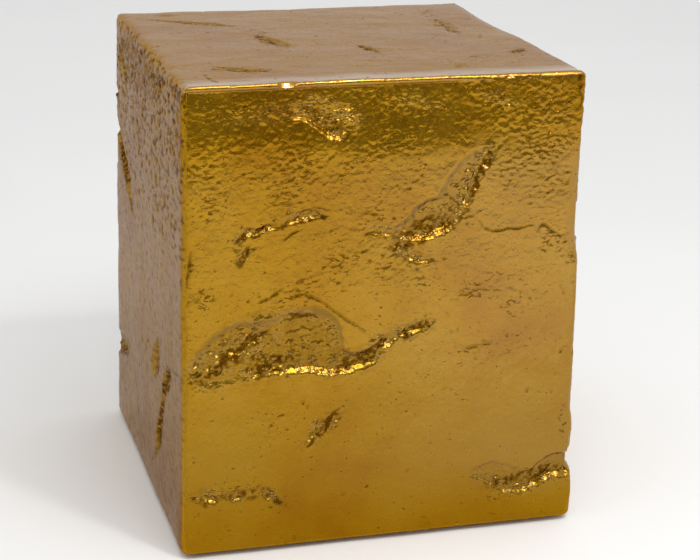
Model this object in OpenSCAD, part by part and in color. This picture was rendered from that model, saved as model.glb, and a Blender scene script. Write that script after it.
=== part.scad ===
// Gold-leafed cast block stool.
// A hollow, slightly tapered casting stands on four screw-adjustable levelling glides. Inside it
// are a seat board, four corner posts and four base rails, all bonded in, and a base panel.
// Millimetres, +Z up, front face towards -Y, origin on the floor under the middle of the block.

/* [Block] */
// Height of the seat above the floor
seat_height = 457; // [440:1:480]
// Width and depth of the block round its bottom rim
base_width = 394; // [390:1:420]
// Width and depth of the block round its top edge
top_width = 382; // [378:1:420]
// Wall thickness of the casting
wall = 10; // [8:0.5:12]
// Thickness of the casting across the seat
seat_thickness = 12; // [10:0.5:16]
// Gap between the bottom rim and the floor
rim_gap = 3; // [2:0.5:4]

/* [Carcass] */
// Thickness of the board bonded under the seat
seat_board_thickness = 15; // [12:1:18]
// Distance from the middle of the block to the inner sides of the corner posts
post_inset = 150; // [148:1:158]
// Height of the rails round the bottom
rail_height = 30; // [24:1:40]
// Thickness of the rails round the bottom
rail_thickness = 20; // [16:1:22]
// Bond line between the timber and the casting
bond_gap = 0.5; // [0.3:0.1:1]
// Width of the resin fillets beside each post, at the height of the rim
fillet_width = 17; // [15:1:20]

/* [Base panel] */
// Thickness of the panel that closes the bottom
panel_thickness = 15; // [12:1:18]
// Height of the panel's underside above the rim
panel_recess = 25; // [24:1:30]
// Diameter of the vent hole in the middle of the panel
vent_diameter = 20; // [10:1:30]
// Number of screws along each side
screws_per_side = 3; // [2:1:4]
// Length of each panel screw
screw_length = 35; // [28:1:40]
// Diameter of the panel screws
screw_diameter = 4; // [3.5:0.5:5]

/* [Levelling glides] */
// Distance between the middles of neighbouring glides
glide_spacing = 280; // [250:2:284]
// Diameter of the stud, over its thread
stud_diameter = 8; // [8:1:8]
// Height of the stud's upper end above the floor
stud_top = 60; // [58:1:70]
// Across flats of the stud's hex collar
collar_flats = 13; // [12:1:14]
// Largest diameter of the pad
pad_diameter = 34; // [30:1:40]
// Height of the pad
pad_height = 12; // [12:0.5:14]

/* [Hidden] */
$fn = 64;
overlap = 1;                     // how far a cutting shape runs past the face it cuts
sliding_gap = 0.06;              // radial clearance of the stud in its nut and of its head in the pad
corners = [["front_left", -1, -1], ["front_right", 1, -1], ["back_right", 1, 1], ["back_left", -1, 1]];
sides = [["front", 0], ["right", 90], ["back", 180], ["left", 270]];

draft = (base_width - top_width) / 2 / (seat_height - rim_gap);   // how far a wall leans in per mm
inner_width = base_width - 2 * wall;
panel_bottom = rim_gap + panel_recess;
panel_top = panel_bottom + panel_thickness;
rail_top = panel_top + rail_height;
board_top = seat_height - seat_thickness;
board_bottom = board_top - seat_board_thickness;

// Flake scars: shallow scoops in the faces. Each is the side it is on (the turn about Z that brings
// the front face there), its place across and up the face, its slope, its half length and its depth.
scars = [
    [0, 60, 348, 47, 62, 4], [0, -112, 214, 8, 74, 4], [0, 0, 192, 18, 52, 3],
    [0, -105, 322, 12, 48, 2.5], [0, 150, 56, -3, 52, 3], [0, -70, 428, -32, 32, 2.5],
    [270, -95, 130, 80, 46, 3], [270, 150, 300, 84, 56, 3]];
scar_radius = 42;                // radius of the long way's cross section

nut_flange_radius = 10;
nut_flange = 1.5;                // thickness of the T-nut's flange
nut_barrel_radius = 5.5;
nut_barrel = 10;                 // length of the barrel below the flange
prong = [3, 1, 7];               // width, thickness and length of a prong
stud_radius = stud_diameter / 2;
collar_bottom = pad_height + 1.5;
collar_height = 6;
sole_height = 3;                 // the sole stands 1 mm out of the pad
sole_radius = pad_diameter / 2 - 2.5;
sole_step = 1;                   // how far the pad stays off the floor
head_bottom = 5;                 // the captive head of the stud lies on the floor of its socket
head_height = 3;
head_radius = 6.5;
head_play = 0.15;                // end play of the head in its socket

screw_head_radius = screw_diameter;
screw_head_height = 2.6;
screw_line = base_width / 2 - wall - rail_thickness / 2 - bond_gap;   // screws run under the rails' middles
screw_pitch = 2 * (post_inset - 30) / (screws_per_side - 1);
fit_gap = 0.05;                  // radial gap round the screws and the T-nut barrels

// Half the width, at height z, of a block that is set in from the outside by a distance
function half_width(z, inset) = base_width / 2 - inset - draft * (z - rim_gap);

// A square block with leaning sides, set in from the outside of the casting
module drafted_block(inset, bottom, top) {
    outline = [
        [-half_width(bottom, inset), bottom], [half_width(bottom, inset), bottom],
        [half_width(top, inset), top], [-half_width(top, inset), top]];
    intersection() {
        rotate([90, 0, 0]) linear_extrude(2 * base_width, center = true) polygon(outline);
        rotate([90, 0, 90]) linear_extrude(2 * base_width, center = true) polygon(outline);
    }
}

// Places its children at one corner's glide
module at_glide(corner) {
    translate([corner[1] * glide_spacing / 2, corner[2] * glide_spacing / 2, 0]) children();
}

// A long shallow scoop in the front face: a lens cut by a large wheel-shaped tool
module scar(across, up, slope, half_length, depth) {
    face = -half_width(up, 0);
    tool_radius = (half_length * half_length + depth * depth) / (2 * depth);
    translate([across, face + depth - tool_radius, up]) rotate([0, -slope, 0])
        intersection() {
            cylinder(r = tool_radius, h = 2 * scar_radius, center = true, $fn = 96);
            translate([0, tool_radius - scar_radius, 0]) rotate([0, 90, 0])
                cylinder(r = scar_radius, h = 2 * half_length + 2, center = true);
        }
}

module cast_shell() {
    color([0.72, 0.52, 0.16]) difference() {
        drafted_block(0, rim_gap, seat_height);
        drafted_block(wall, rim_gap - overlap, board_top);
        for (s = scars) rotate([0, 0, s[0]]) scar(s[1], s[2], s[3], s[4], s[5]);
    }
}

module seat_board() {
    color([0.78, 0.64, 0.44]) drafted_block(wall + bond_gap, board_bottom, board_top);
}

module corner_post(corner) {
    color([0.8, 0.66, 0.45]) intersection() {
        drafted_block(wall + bond_gap, panel_top, board_bottom);
        scale([corner[1], corner[2], 1]) translate([post_inset, post_inset, 0]) cube([100, 100, seat_height]);
    }
}

// Two triangular beads of resin, one on each side of the post, up the inside of the walls
module resin_fillet(corner) {
    reach = half_width(rim_gap, wall);
    color([0.62, 0.6, 0.52]) intersection() {
        drafted_block(wall, rail_top, board_bottom);
        scale([corner[1], corner[2], 1]) for (m = [0, 1])
            mirror([m, -m, 0]) linear_extrude(seat_height)
                polygon([[post_inset, reach - fillet_width], [post_inset, reach], [post_inset - fillet_width, reach]]);
    }
}

module base_rail(turn) {
    color([0.76, 0.6, 0.4]) rotate([0, 0, turn]) difference() {
        intersection() {
            drafted_block(wall + bond_gap, panel_top, rail_top);
            translate([-post_inset, -base_width / 2, 0])
                cube([2 * post_inset, wall + bond_gap + rail_thickness, seat_height]);
        }
        for (i = [0 : screws_per_side - 1]) at_side_screw(i)
            cylinder(r = screw_diameter / 2 + fit_gap, h = screw_length + overlap);
    }
}

// Places its children under one of the front side's screws, at the panel's underside
module at_side_screw(i) {
    translate([(i - (screws_per_side - 1) / 2) * screw_pitch, -screw_line, panel_bottom]) children();
}

// The outside of one screw with its countersunk head, point up, grown by a gap all round
module screw_form(gap) {
    cylinder(r = screw_diameter / 2 + gap, h = screw_length - 6);
    cylinder(r1 = screw_head_radius + gap, r2 = screw_diameter / 2 + gap, h = screw_head_height);
}

module base_panel() {
    color([0.07, 0.07, 0.07]) difference() {
        drafted_block(wall + bond_gap, panel_bottom, panel_top);
        cylinder(d = vent_diameter, h = seat_height);
        for (c = corners) at_glide(c)
            translate([0, 0, panel_bottom - overlap]) cylinder(r = nut_barrel_radius + fit_gap, h = panel_thickness + 2 * overlap);
        for (s = sides) rotate([0, 0, s[1]])
            for (i = [0 : screws_per_side - 1]) at_side_screw(i) screw_form(fit_gap);
    }
}

module panel_screws() {
    color([0.75, 0.72, 0.62]) for (s = sides) rotate([0, 0, s[1]])
        for (i = [0 : screws_per_side - 1]) at_side_screw(i) difference() {
            union() {
                screw_form(0);
                translate([0, 0, screw_length - 6]) cylinder(r1 = screw_diameter / 2, r2 = 0.2, h = 6);
            }
            // Cross recess in the head
            for (turn = [0, 90]) rotate([0, 0, turn]) translate([-2.2, -0.5, -overlap]) cube([4.4, 1, overlap + 1.6]);
        }
}

module tee_nut(corner) {
    color([0.7, 0.71, 0.72]) at_glide(corner) difference() {
        union() {
            translate([0, 0, panel_top]) cylinder(r = nut_flange_radius, h = nut_flange);
            translate([0, 0, panel_top - nut_barrel]) cylinder(r = nut_barrel_radius, h = nut_barrel + overlap);
            for (turn = [45 : 90 : 315]) rotate([0, 0, turn])
                translate([nut_flange_radius - prong[1], -prong[0] / 2, panel_top - prong[2]])
                    cube([prong[1], prong[0], prong[2] + overlap]);
        }
        translate([0, 0, panel_bottom]) cylinder(r = stud_radius + sliding_gap, h = seat_height);
    }
}

module glide_stud(corner) {
    color([0.72, 0.73, 0.74]) at_glide(corner) {
        translate([0, 0, head_bottom]) cylinder(r = head_radius, h = head_height);
        translate([0, 0, head_bottom]) cylinder(r = stud_radius, h = stud_top - head_bottom - 1);
        translate([0, 0, stud_top - 1]) cylinder(r1 = stud_radius, r2 = stud_radius - 1, h = 1);
        translate([0, 0, collar_bottom]) cylinder(d = collar_flats / cos(30), h = collar_height, $fn = 6);
    }
}

module glide_pad(corner) {
    socket = head_radius + sliding_gap;
    neck = stud_radius + sliding_gap;
    rim = pad_diameter / 2;
    shoulder = collar_flats / 2 + 3;
    profile = [
        [0, sole_height], [sole_radius, sole_height], [sole_radius, sole_step], [rim - 0.8, sole_step],
        [rim, sole_step + 0.8], [rim, 4.5], [rim - 1.5, 6], [shoulder, pad_height - 0.8],
        [shoulder - 0.8, pad_height], [neck, pad_height], [neck, head_bottom + head_height + head_play],
        [socket, head_bottom + head_height + head_play], [socket, head_bottom], [0, head_bottom]];
    color([0.12, 0.12, 0.12]) at_glide(corner) rotate_extrude() polygon(profile);
}

module glide_sole(corner) {
    edge = 0.6;
    profile = [
        [0, 0], [sole_radius - edge - 0.1, 0], [sole_radius - 0.1, edge], [sole_radius - 0.1, sole_height],
        [0, sole_height]];
    color([0.22, 0.21, 0.2]) at_glide(corner) rotate_extrude() polygon(profile);
}

cast_shell();
seat_board();
for (c = corners) corner_post(c);
for (c = corners) resin_fillet(c);
for (s = sides) base_rail(s[1]);
base_panel();
panel_screws();
for (c = corners) tee_nut(c);
for (c = corners) glide_stud(c);
for (c = corners) glide_pad(c);
for (c = corners) glide_sole(c);
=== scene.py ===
import itertools
import math

import bpy
import numpy as np
from mathutils import Matrix, Vector


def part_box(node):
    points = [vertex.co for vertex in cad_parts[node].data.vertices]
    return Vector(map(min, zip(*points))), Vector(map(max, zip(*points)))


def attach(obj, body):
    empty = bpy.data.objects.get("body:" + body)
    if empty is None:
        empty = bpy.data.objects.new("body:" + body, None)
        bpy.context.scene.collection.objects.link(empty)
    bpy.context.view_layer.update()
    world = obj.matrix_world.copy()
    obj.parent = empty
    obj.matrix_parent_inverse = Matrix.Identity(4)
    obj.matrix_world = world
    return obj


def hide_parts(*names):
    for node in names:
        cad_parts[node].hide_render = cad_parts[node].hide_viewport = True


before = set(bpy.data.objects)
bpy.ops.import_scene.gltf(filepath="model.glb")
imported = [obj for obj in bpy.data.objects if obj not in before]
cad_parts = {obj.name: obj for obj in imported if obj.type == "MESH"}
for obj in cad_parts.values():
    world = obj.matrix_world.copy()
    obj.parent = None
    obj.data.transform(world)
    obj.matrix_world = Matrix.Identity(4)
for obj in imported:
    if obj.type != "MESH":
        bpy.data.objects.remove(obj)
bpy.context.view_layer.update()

# A gold-leafed block stool: one hollow stone-effect casting over a timber carcass, on levelling glides.
# Metres, +Z up, front face towards -Y. Relief is described in millimetres on each face.

MM = 0.001
CORNERS = ("front_left", "front_right", "back_right", "back_left")
SIDES = ("front", "right", "back", "left")

# ------------------------------------------------------------------ camera

AIM_HEIGHT = 0.2285
CAMERA_AZIMUTH = math.radians(-15.80)
CAMERA_ELEVATION = math.radians(18.09)
CAMERA_ROLL = math.radians(0.962)
CAMERA_DISTANCE = 1.9685
CAMERA_PAN = 0.0177        # how far the camera is moved to its own right and up, without turning
CAMERA_RISE = -0.0229
LENS_MM = 97.7
SENSOR_MM = 36.0


def make_camera():
    """The camera turns about a point in the middle of the block, then slides a little in its own plane."""
    a, e, roll = CAMERA_AZIMUTH, CAMERA_ELEVATION, CAMERA_ROLL
    back = Vector((math.sin(a) * math.cos(e), -math.cos(a) * math.cos(e), math.sin(e)))
    level = Vector((math.cos(a), math.sin(a), 0.0))
    upright = back.cross(level)
    right = level * math.cos(roll) + upright * math.sin(roll)
    up = upright * math.cos(roll) - level * math.sin(roll)
    data = bpy.data.cameras.new("camera")
    data.lens = LENS_MM
    data.sensor_width = SENSOR_MM
    camera = bpy.data.objects.new("camera", data)
    place = Vector((0, 0, AIM_HEIGHT)) + back * CAMERA_DISTANCE + right * CAMERA_PAN + up * CAMERA_RISE
    turn = Matrix((right, up, back)).transposed().to_4x4()
    camera.matrix_world = Matrix.Translation(place) @ turn
    bpy.context.collection.objects.link(camera)
    bpy.context.scene.camera = camera


# ------------------------------------------------------------------ noise and strokes

def gradient_table(seed):
    """256 unit vectors in random directions, and a shuffled table to pick them with."""
    rng = np.random.default_rng(seed)
    vectors = rng.normal(size=(256, 3))
    vectors /= np.linalg.norm(vectors, axis=1, keepdims=True)
    return vectors, rng.permutation(256)


def noise(points, wavelength, seed):
    """Smooth gradient noise, about -1 to 1, at points in millimetres. The wavelength may differ by axis."""
    vectors, shuffle = gradient_table(seed)
    scaled = points / np.asarray(wavelength, float)
    cell = np.floor(scaled).astype(np.int64)
    inside = scaled - cell
    fade = inside ** 3 * (inside * (inside * 6 - 15) + 10)
    total = np.zeros(len(points))
    for corner in itertools.product((0, 1), repeat=3):
        at = (cell + corner) & 255
        pick = shuffle[(shuffle[(shuffle[at[:, 0]] + at[:, 1]) & 255] + at[:, 2]) & 255]
        weight = np.prod(np.where(corner, fade, 1 - fade), axis=1)
        total += weight * np.einsum("ij,ij->i", vectors[pick], inside - corner)
    return total * 1.7


def layered(points, wavelength, seed, layers=3, keep=0.5):
    """Several octaves of noise, each half the size and a share of the height of the last."""
    total = 0.0
    size = np.asarray(wavelength, float)
    for layer in range(layers):
        total = total + keep ** layer * noise(points, size / 2 ** layer, seed + layer)
    return total


def ridged(points, wavelength, seed):
    """Noise folded into sharp creases, 0 to 1, with 1 along the creases."""
    return 1 - np.minimum(np.abs(noise(points, wavelength, seed)) * 2.2, 1)


def smooth(value, low=0.0, high=1.0):
    """0 below low and 1 above high, with a smooth turn between them."""
    t = np.clip((value - low) / (high - low), 0, 1)
    return t * t * (3 - 2 * t)


def rounded(path):
    """A stroke's points with two more between each pair, on a curve through them all."""
    p = np.asarray(path, float)
    p = np.vstack([2 * p[0] - p[1], p, 2 * p[-1] - p[-2]])
    out = []
    for a, b, c, d in zip(p, p[1:], p[2:], p[3:]):
        for t in (0, 1 / 3, 2 / 3):
            bend = 2 * a - 5 * b + 4 * c - d + t * (3 * (b - c) + d - a)
            out.append(b + 0.5 * t * (c - a + t * bend))
    out.append(p[-2])
    return np.array(out)


def along(place, path, reach):
    """For each place on a face, its signed distance from a stroke, and the stroke's values beside it.
    The distance is positive on the left of the way the stroke runs, and infinite past its reach."""
    path = rounded(path)
    near = np.full(len(place), np.inf)
    side = np.zeros(len(place))
    values = np.zeros((len(place), path.shape[1] - 2))
    low, high = path[:, :2].min(0) - reach, path[:, :2].max(0) + reach
    chosen = np.flatnonzero(np.all((place > low) & (place < high), axis=1))
    p = place[chosen]
    best = np.full(len(chosen), np.inf)
    turn = np.zeros(len(chosen))
    value = np.zeros((len(chosen), values.shape[1]))
    for a, b in zip(path, path[1:]):
        run = b[:2] - a[:2]
        t = np.clip((p - a[:2]) @ run / (run @ run), 0, 1)
        gap = p - a[:2] - t[:, None] * run
        distance = np.linalg.norm(gap, axis=1)
        closer = distance < best
        best[closer] = distance[closer]
        turn[closer] = np.sign(run[0] * gap[:, 1] - run[1] * gap[:, 0])[closer]
        value[closer] = (a[2:] + t[:, None] * (b[2:] - a[2:]))[closer]
    near[chosen], side[chosen], values[chosen] = best, turn, value
    return near * np.where(side < 0, -1, 1), values


# ------------------------------------------------------------------ relief of the faces, in millimetres

# A flake scar is the width of its rounded shoulder, then points along its deepest line. Each point is
# across the face, height, depth, how far the scar reaches on the line's left, where the shoulder is, and
# how far the steep broken wall runs on its right.
FRONT_SCARS = (
    # long gouge high on the right
    (9, ((1, 309, 0, 8, 4), (10, 308, 3.0, 16, 5), (24, 307, 4.6, 28, 6), (38, 308, 5.2, 34, 6),
        (50, 311, 5.2, 36, 6), (61, 319, 5.0, 34, 7), (70, 329, 4.8, 30, 8), (78, 345, 4.6, 27, 8),
        (85, 361, 4.2, 24, 8), (95, 376, 3.6, 18, 7), (103, 384, 2.6, 11, 5), (112, 393, 0, 5, 4))),
    # its short tail and left arm
    (4, ((2, 308, 0, 5, 3), (10, 298, 2.6, 8, 4), (21, 288, 2.4, 9, 5), (34, 283, 2.6, 9, 5),
        (48, 285, 0, 5, 3))),
    (4, ((-26, 312, 0, 4, 3), (-12, 315, 1.8, 8, 4), (0, 312, 2.2, 10, 4), (9, 310, 0, 6, 3))),
    # long wavy ledge: its upper left bank, then its lower wall
    (11, ((-198, 180, 0, 8, 6), (-187, 188, 2.0, 14, 10), (-174, 196, 2.8, 20, 14),
        (-158, 206, 3.2, 25, 17), (-143, 214, 3.4, 26, 18), (-128, 219, 3.2, 22, 18),
        (-112, 223, 2.4, 16, 16), (-92, 230, 0, 8, 10))),
    (11, ((-196, 177, 0, 8, 8), (-178, 178, 1.6, 10, 8), (-160, 180, 1.2, 12, 8), (-147, 185, 1.4, 20, 9),
        (-125, 188, 2.6, 44, 10), (-104, 188, 3.8, 58, 9), (-80, 186, 4.6, 62, 7), (-58, 183, 4.8, 54, 7),
        (-42, 181, 4.6, 30, 7), (-30, 184, 4.2, 18, 7), (-18, 190, 3.6, 13, 9), (-8, 197, 2.6, 10, 8),
        (2, 206, 2.0, 7, 6), (13, 212, 2.2, 8, 4), (27, 216, 2.8, 10, 6), (39, 218, 2.2, 8, 5),
        (48, 224, 0, 4, 3))),
    # a second lip on the ledge's shoulder
    (7, ((-168, 226, 0, 5, 3), (-150, 234, 0.9, 9, 4), (-132, 237, 1.2, 10, 4), (-114, 240, 1.2, 10, 4),
        (-96, 241, 1.4, 10, 4), (-78, 236, 1.6, 10, 4), (-62, 226, 1.6, 10, 4), (-50, 212, 1.4, 9, 4),
        (-40, 200, 0, 6, 3))),
    # chips in the lower left
    (4, ((-192, 66, 0, 5, 3), (-182, 65, 2.2, 9, 4), (-170, 61, 2.6, 9, 5), (-161, 58, 0, 5, 3))),
    (4, ((-162, 61, 0, 6, 3), (-153, 60, 2.0, 10, 4), (-144, 59, 2.8, 14, 5), (-136, 66, 0, 8, 3))),
    (4, ((-128, 70, 0, 5, 3), (-120, 63, 2.0, 9, 4), (-110, 56, 2.4, 8, 4), (-102, 50, 0, 4, 3))),
    # ledge in the lower right, running out through the arris
    (4, ((86, 62, 0, 6, 3), (95, 58, 2.4, 12, 4), (104, 54, 2.8, 21, 4), (118, 46, 3.0, 25, 5),
        (132, 42, 3.2, 22, 6), (144, 41, 3.6, 24, 7), (154, 45, 3.8, 16, 8), (166, 50, 4.2, 18, 8),
        (180, 54, 4.8, 22, 8), (206, 56, 5.4, 17, 8))),
    # chip under the top edge
    (3, ((-97, 432, 0, 6, 3), (-88, 427, 2.8, 13, 4), (-76, 421, 4.0, 20, 5), (-66, 416, 4.4, 26, 5),
        (-56, 409, 4.0, 32, 5), (-47, 405, 2.6, 30, 4), (-38, 404, 0, 18, 3))),
    # small ledges left of the middle
    (4, ((-147, 304, 0, 4, 2), (-145, 311, 2.0, 5, 3), (-138, 318, 2.6, 7, 4), (-126, 321, 2.4, 6, 3),
        (-112, 323, 1.8, 5, 3), (-105, 325, 0, 4, 2))),
    (4, ((-106, 322, 0, 4, 2), (-96, 328, 2.6, 7, 3), (-85, 331, 2.6, 8, 4), (-72, 333, 2.6, 7, 4),
        (-60, 331, 0, 5, 3))),
    (4, ((-146, 290, 0, 5, 3), (-141, 297, 2.4, 7, 4), (-136, 303, 1.8, 6, 3), (-129, 308, 0, 3, 2))),
    (3, ((-101, 339, 0, 3, 2), (-96, 339, 1.6, 4, 3), (-90, 335, 0, 3, 2))),
    # broken scratch below the middle
    (3, ((-88, 101, 0, 3, 2), (-80, 109, 1.4, 4, 2), (-71, 117, 1.8, 5, 3), (-66, 126, 2.2, 6, 4),
        (-58, 130, 0, 4, 2))),
    (3, ((-60, 118, 0, 3, 2), (-55, 124, 1.8, 5, 3), (-49, 131, 1.4, 4, 3), (-38, 137, 0, 3, 2))),
)
LEFT_SCARS = (
    (6, ((70, 178, 0, 8, 4), (58, 166, 4.0, 22, 7), (46, 153, 4.8, 24, 9), (36, 143, 3.4, 16, 7),
        (26, 138, 0, 6, 4))),
    (6, ((138, 170, 0, 6, 4), (124, 163, 3.4, 16, 6), (110, 154, 4.2, 20, 8), (100, 143, 3.0, 14, 6),
        (92, 124, 2.4, 12, 5), (82, 104, 3.0, 14, 6), (72, 86, 4.0, 20, 8), (62, 66, 2.6, 14, 6),
        (46, 38, 0, 6, 4))),
    (6, ((-206, 336, 5.0, 16, 8), (-184, 328, 4.4, 15, 8), (-160, 318, 3.8, 14, 7),
        (-136, 307, 3.8, 14, 8), (-114, 290, 4.0, 13, 7), (-96, 276, 2.8, 9, 5), (-80, 262, 0, 5, 3))),
    (6, ((-206, 72, 3.6, 26, 5), (-182, 80, 3.6, 24, 5), (-158, 88, 3.6, 22, 5), (-126, 101, 2.2, 16, 4),
        (-98, 110, 0, 8, 3))),
    (6, ((-108, 396, 0, 6, 3), (-128, 404, 2.4, 12, 5), (-148, 414, 3.2, 14, 6), (-170, 424, 0, 8, 4))),
    (6, ((98, 424, 0, 5, 3), (74, 430, 2.2, 10, 4), (52, 438, 2.0, 10, 4), (30, 446, 0, 5, 3))),
    (6, ((30, 154, 0, 3, 2), (16, 157, 1.8, 6, 3), (0, 156, 0, 3, 2))),
    (6, ((-206, 376, 2.0, 12, 5), (-190, 372, 2.0, 10, 4), (-172, 368, 0, 5, 3))),
)
RIGHT_SCARS = (
    (6, ((-206, 300, 3.2, 30, 6), (-172, 296, 4.0, 38, 6), (-120, 300, 3.6, 38, 6),
        (-64, 318, 0, 14, 4))),
    (6, ((-206, 56, 5.4, 20, 8), (-178, 60, 3.8, 18, 6), (-140, 52, 2.6, 12, 5), (-106, 56, 0, 6, 3))),
    (6, ((-66, 182, 0, 8, 4), (-10, 172, 3.4, 30, 6), (50, 188, 4.2, 38, 7), (100, 180, 2.8, 22, 5),
        (134, 198, 0, 8, 3))),
    (6, ((16, 394, 0, 6, 3), (66, 376, 3.4, 26, 6), (112, 380, 4.0, 28, 6), (156, 400, 0, 10, 3))),
    (6, ((96, 92, 0, 5, 3), (122, 84, 2.4, 12, 4), (150, 90, 2.0, 10, 4), (172, 102, 0, 5, 3))),
)
BACK_SCARS = (
    (6, ((-156, 332, 0, 8, 4), (-110, 312, 4.0, 34, 7), (-60, 318, 4.8, 42, 7), (-10, 300, 3.6, 28, 6),
        (46, 314, 0, 8, 4))),
    (6, ((14, 142, 0, 6, 3), (70, 126, 3.6, 28, 6), (120, 138, 4.6, 36, 8), (206, 128, 5.0, 30, 7))),
    (6, ((-206, 88, 4.4, 22, 6), (-160, 80, 3.4, 20, 5), (-112, 96, 0, 8, 3))),
    (6, ((56, 412, 0, 6, 3), (96, 396, 3.0, 20, 5), (142, 404, 0, 8, 3))),
    (6, ((-60, 206, 0, 5, 3), (-32, 196, 2.4, 12, 4), (0, 204, 0, 5, 3))),
)
TOP_SCARS = (
    (4, ((-186, 158, 0, 4, 2), (-166, 142, 0.9, 7, 3), (-148, 128, 1.2, 9, 3), (-120, 112, 1.6, 11, 4),
        (-97, 97, 1.2, 8, 3), (-84, 84, 0, 5, 2))),
    (4, ((-78, 74, 0, 5, 3), (-70, 52, 1.0, 9, 3), (-76, 26, 1.6, 11, 4), (-68, 2, 2.0, 13, 5),
        (-62, -20, 1.8, 11, 4), (-54, -40, 0, 6, 3))),
    (4, ((-162, 172, 0, 8, 3), (-148, 166, 1.4, 12, 4), (-134, 160, 0, 6, 3))),
    (4, ((12, -30, 0, 4, 2), (18, -52, 1.6, 9, 4), (26, -74, 0, 5, 3))),
    (4, ((152, 158, 0, 5, 3), (140, 134, 1.2, 9, 3), (124, 108, 0, 5, 3))),
    (4, ((134, 96, 0, 5, 3), (138, 64, 1.4, 10, 4), (134, 32, 1.4, 10, 4), (124, 4, 0, 5, 3))),
    (4, ((176, -80, 0, 5, 3), (164, -92, 1.2, 9, 4), (154, -106, 0, 5, 3))),
    (4, ((-156, -112, 0, 5, 3), (-142, -124, 1.6, 11, 4), (-122, -134, 1.4, 9, 4), (-96, -134, 0, 5, 3))),
    (4, ((90, -142, 0, 4, 2), (82, -152, 1.2, 7, 3), (72, -166, 0, 4, 2))),
)

# A groove is a thin crack or scratch: across the face, height, depth and half width.
FRONT_GROOVES = (
    ((91, 320, 0.5, 0.8), (98, 312, 0.9, 1.0), (109, 308, 0.9, 1.0), (121, 310, 0.8, 0.9),
     (132, 309, 0.8, 0.9), (147, 312, 0.4, 0.8)),
    ((73, 323, 0.4, 0.8), (82, 324, 0.8, 1.0), (91, 329, 0.4, 0.8)),
    ((150, 303, 0.4, 0.8), (156, 312, 0.9, 1.1), (166, 306, 0.9, 1.1), (178, 296, 0.4, 0.8)),
    ((154, 289, 0.4, 0.8), (161, 285, 0.8, 1.0)),
    ((-126, 252, 0.5, 0.9), (-114, 258, 1.2, 1.2), (-101, 266, 0.5, 0.9)),
    ((-95, 256, 0.6, 0.9), (-80, 258, 1.0, 1.2), (-64, 250, 0.9, 1.1), (-52, 240, 1.0, 1.0),
     (-33, 226, 1.0, 0.9), (-16, 213, 0.4, 0.8)),
    ((-80, 338, 0.4, 0.9), (-72, 341, 1.0, 1.2), (-58, 339, 0.4, 0.8)),
    ((-103, 312, 0.5, 0.9), (-94, 318, 1.0, 1.2), (-83, 321, 0.4, 0.9)),
    ((-94, 239, 0.6, 1.2), (-84, 237, 1.6, 1.8), (-74, 237, 0.5, 1.2)),
    ((-44, 199, 0.6, 1.2), (-34, 195, 1.4, 1.6), (-20, 195, 1.0, 1.4), (-12, 200, 0.4, 1.0)),
    ((74, 196, 0.3, 0.8), (86, 193, 0.7, 0.9), (98, 195, 0.6, 0.9), (108, 196, 0.3, 0.8)),
    ((68, 251, 0.3, 0.8), (78, 247, 0.7, 1.0), (92, 251, 0.5, 0.8), (106, 250, 0.3, 0.8)),
    ((-190, 306, 0.6, 1.4), (-192, 290, 1.4, 2.0), (-194, 272, 0.6, 1.4)),
    ((-137, 373, 0.4, 0.8), (-130, 372, 0.7, 0.9)),
    ((-136, 378, 0.4, 0.8), (-129, 377, 0.7, 0.9)),
)
SIDE_GROOVES = (
    ((-60, 380, 0.5, 1.5), (-66, 350, 1.0, 2.0), (-58, 318, 1.0, 2.0), (-64, 290, 0.5, 1.5)),
    ((40, 300, 0.5, 1.2), (34, 262, 1.0, 1.8), (42, 230, 0.5, 1.2)),
)
LEFT_GROOVES = (
    ((130, 170, 0.4, 1.2), (160, 176, 1.0, 1.8), (192, 182, 0.6, 1.5)),
    ((-4, 148, 0.4, 1.2), (12, 157, 1.0, 1.8), (30, 156, 0.5, 1.2)),
)
BACK_GROOVES = (
    ((80, 260, 0.5, 1.2), (112, 250, 1.0, 1.8), (150, 256, 0.9, 1.6), (184, 246, 0.5, 1.2)),
    ((-90, 210, 0.5, 1.2), (-60, 196, 1.0, 1.8), (-20, 200, 0.5, 1.2)),
)
TOP_GROOVES = (
    ((104, -118, 0.3, 1.2), (112, -108, 0.8, 1.8), (118, -120, 0.3, 1.2)),
    ((-168, -140, 0.4, 1.4), (-166, -166, 1.0, 2.0), (-160, -180, 0.5, 1.4)),
    ((160, 6, 0.3, 1.2), (154, -10, 0.8, 1.8), (148, -22, 0.3, 1.2)),
)

# A patch of crumbled surface: across, height, two radii, slant in degrees and strength
FRONT_PATCHES = (
    (-58, 428, 36, 14, -20, 0.9), (-140, 203, 50, 13, 28, 0.9), (-98, 197, 28, 9, 0, 0.7),
    (-45, 190, 34, 8, 8, 0.8), (30, 216, 22, 8, 20, 0.7), (40, 322, 40, 12, 12, 0.7),
    (80, 355, 26, 10, 62, 0.8), (20, 290, 28, 6, -20, 0.6), (152, 48, 42, 9, 12, 0.8),
    (100, 60, 12, 7, 0, 0.6), (-150, 65, 24, 7, 0, 0.6), (-112, 60, 14, 6, -35, 0.6),
    (-62, 120, 24, 5, 45, 0.5), (-120, 430, 40, 10, 10, 0.35), (30, 433, 26, 7, -10, 0.4),
    (110, 434, 22, 8, -20, 0.5), (170, 412, 20, 7, -15, 0.5),
)
LEFT_PATCHES = (
    (-60, 425, 150, 26, 0, 0.3), (60, 155, 30, 16, 40, 0.7), (112, 152, 22, 12, 30, 0.7),
    (76, 88, 14, 24, -30, 0.7), (-145, 308, 60, 14, -32, 0.7), (60, 436, 50, 12, 0, 0.6),
    (-150, 410, 40, 14, 0, 0.6),
)
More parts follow.
